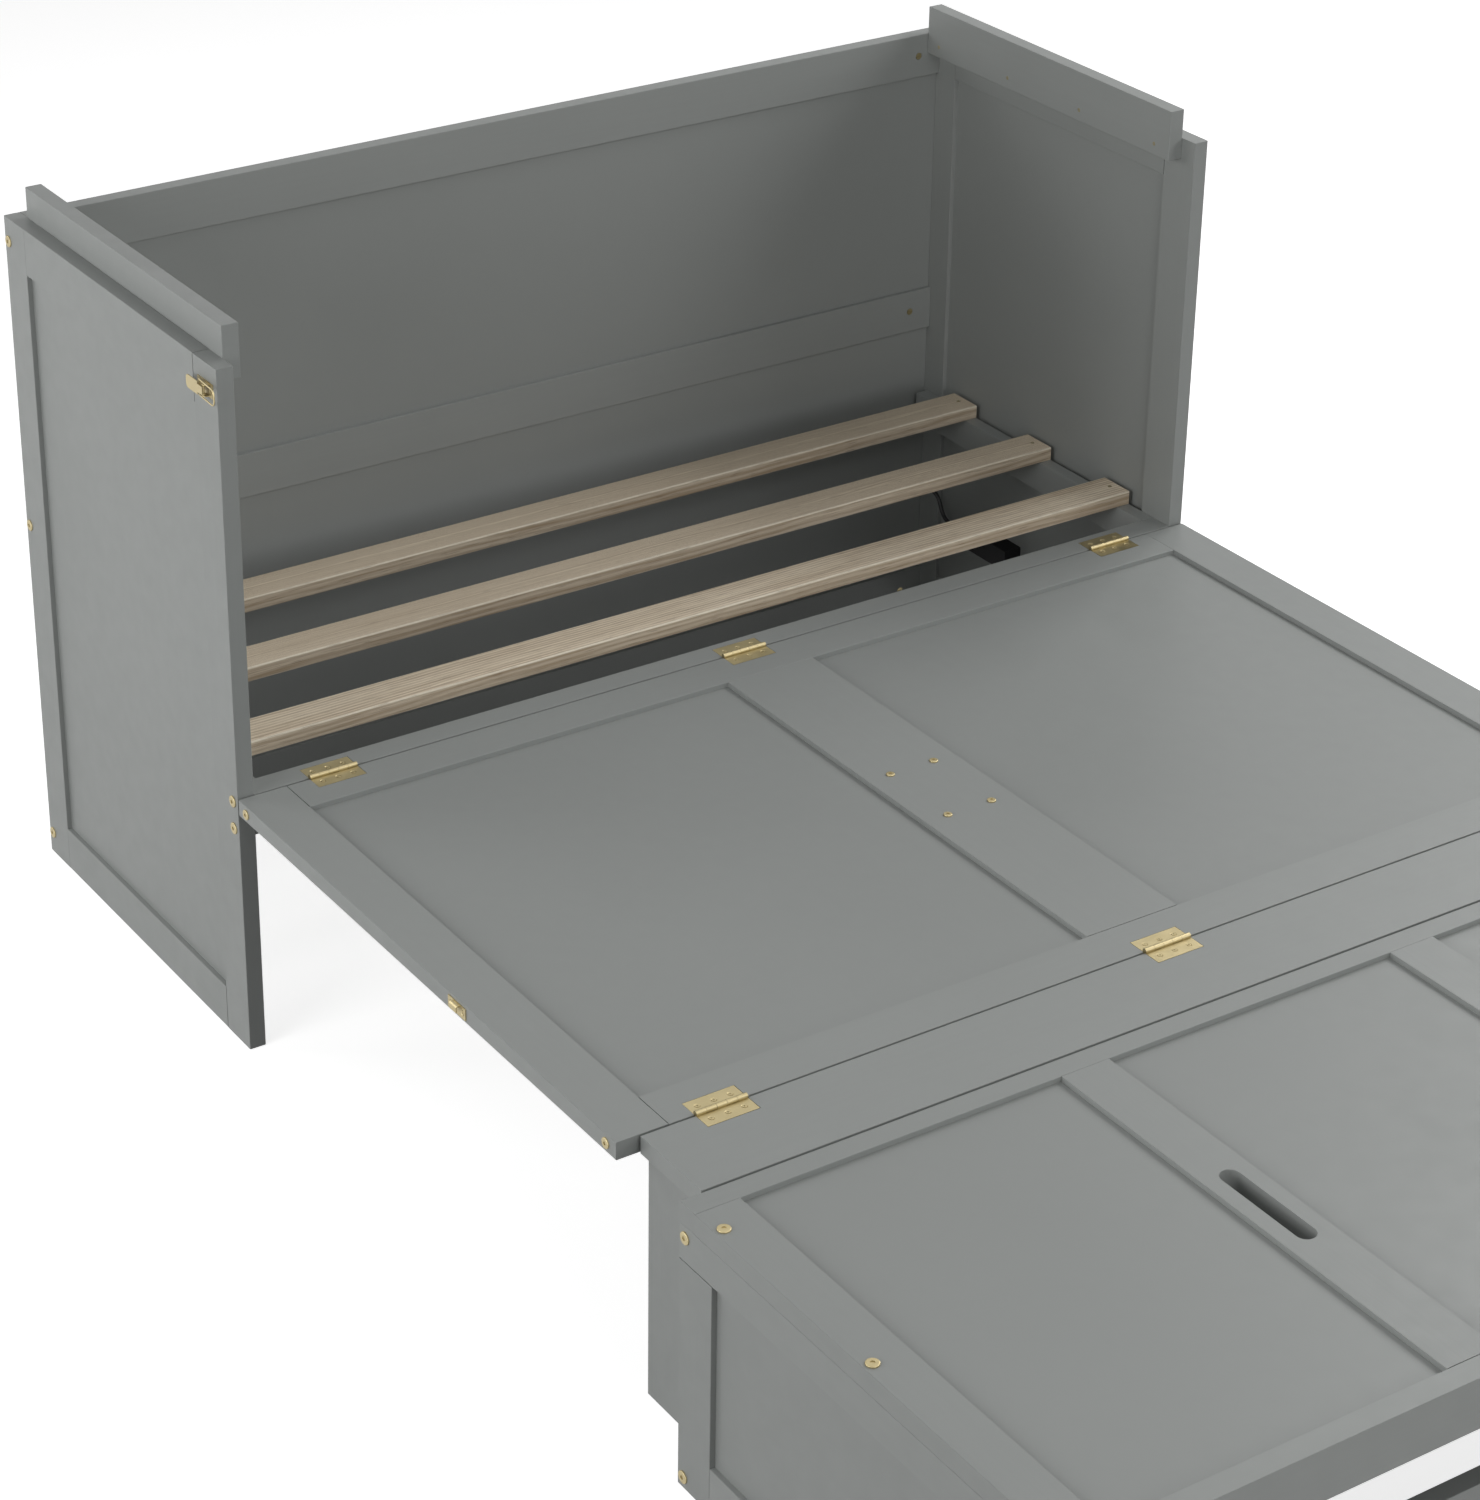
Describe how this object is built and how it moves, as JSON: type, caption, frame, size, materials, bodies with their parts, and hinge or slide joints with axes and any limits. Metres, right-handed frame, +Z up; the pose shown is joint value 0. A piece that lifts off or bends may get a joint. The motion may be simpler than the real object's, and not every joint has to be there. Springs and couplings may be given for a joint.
{
  "type": "wall bed",
  "caption": "Folding cabinet bed opened flat: a slatted wall cabinet, a hinged deck with a folding foot stand, and a lift-off foot box",
  "frame": {"origin": "on the floor, under the middle of the bed's outline without its power cord", "axes": "+X to the right seen from the foot end, +Y towards the wall, +Z up"},
  "size_m": [1.4717, 2.3041, 0.954],
  "materials": {
    "grey_paint": "satin grey paint on wood",
    "pale_wood": "bare pale wood, planed",
    "brass": "pale brass plating, satin",
    "bracket_steel": "dark coated steel",
    "black_plastic": "black moulded plastic",
    "cord_jacket": "black flexible jacket"
  },
  "bodies": {
    "cabinet": {"left_side_frame": "grey_paint", "left_side_panel": "grey_paint", "right_side_frame": "grey_paint", "right_side_panel": "grey_paint", "back_rails": "grey_paint", "back_panels": "grey_paint", "front_rail": "grey_paint", "left_cleat": "grey_paint", "right_cleat": "grey_paint", "left_ledger": "grey_paint", "right_ledger": "grey_paint", "slat_back": "pale_wood", "slat_middle": "pale_wood", "slat_front": "pale_wood", "cabinet_bolts": "brass", "barrel_nuts": "brass", "cleat_screws": "brass", "slat_screws": "brass", "cabinet_hinge_leaves": "brass", "cabinet_hinge_pins": "brass", "cabinet_screws": "brass", "latch_base": "brass", "socket_unit": "black_plastic", "cord_grommet": "black_plastic", "power_plug": "black_plastic", "power_cord": "cord_jacket", "cord_coil": "cord_jacket"},
    "deck": {"deck_stiles": "grey_paint", "deck_rails": "grey_paint", "deck_centre_stile": "grey_paint", "deck_panels": "grey_paint", "deck_hinge_leaves": "brass", "deck_screws": "brass", "foot_hinge_pins": "brass", "deck_bolts": "brass", "deck_catch": "brass", "leg_bracket": "bracket_steel"},
    "centre_leg": {"centre_leg": "grey_paint"},
    "foot_stand": {"foot_board": "grey_paint", "left_foot_leg": "grey_paint", "right_foot_leg": "grey_paint", "foot_cross_board": "grey_paint", "foot_hinge_leaves": "brass", "foot_screws": "brass"},
    "foot_box": {"box_top_frame": "grey_paint", "box_centre_stiles": "grey_paint", "box_top_panels": "grey_paint", "box_foot_rail": "grey_paint", "box_left_frame": "grey_paint", "box_right_frame": "grey_paint", "box_side_panels": "grey_paint", "box_back_rails": "grey_paint", "box_back_panel": "grey_paint", "box_cross_board": "grey_paint", "box_bolts": "brass"},
    "lever": {"latch_lever": "brass"},
    "bail": {"latch_bail": "brass"}
  },
  "joints": [
    {"name": "deck_fold", "type": "hinge", "parent": "cabinet", "child": "deck", "pos_m": [0, 0.5142, 0.35756], "axis": [-1, 0, 0], "range_deg": [0, 90]},
    {"name": "foot_fold", "type": "hinge", "parent": "deck", "child": "foot_stand", "pos_m": [0, -0.3392, 0.35756], "axis": [-1, 0, 0], "range_deg": [0, 180]},
    {"name": "box_slide", "type": "slide", "parent": "cabinet", "child": "foot_box", "axis": [0, -1, 0], "range_m": [0, 1.8]},
    {"name": "centre_leg_fold", "type": "hinge", "parent": "deck", "child": "centre_leg", "pos_m": [0, 0.0875, 0.3082], "axis": [1, 0, 0], "range_deg": [0, 90]},
    {"name": "latch_fold", "type": "hinge", "parent": "cabinet", "child": "lever", "pos_m": [-0.7365, 0.5364, 0.883], "axis": [0, 0, 1], "range_deg": [0, 150]},
    {"name": "bail_swing", "type": "hinge", "parent": "lever", "child": "bail", "pos_m": [-0.7365, 0.5464, 0.883], "axis": [0, 0, 1], "range_deg": [-150, 0]}
  ],
  "couplings": [
    {"joint": "foot_fold", "follows": "deck_fold", "ratio": 2},
    {"joint": "box_slide", "follows": "deck_fold", "m_per_rad": 1.14},
    {"joint": "bail_swing", "follows": "latch_fold", "ratio": -1}
  ]
}
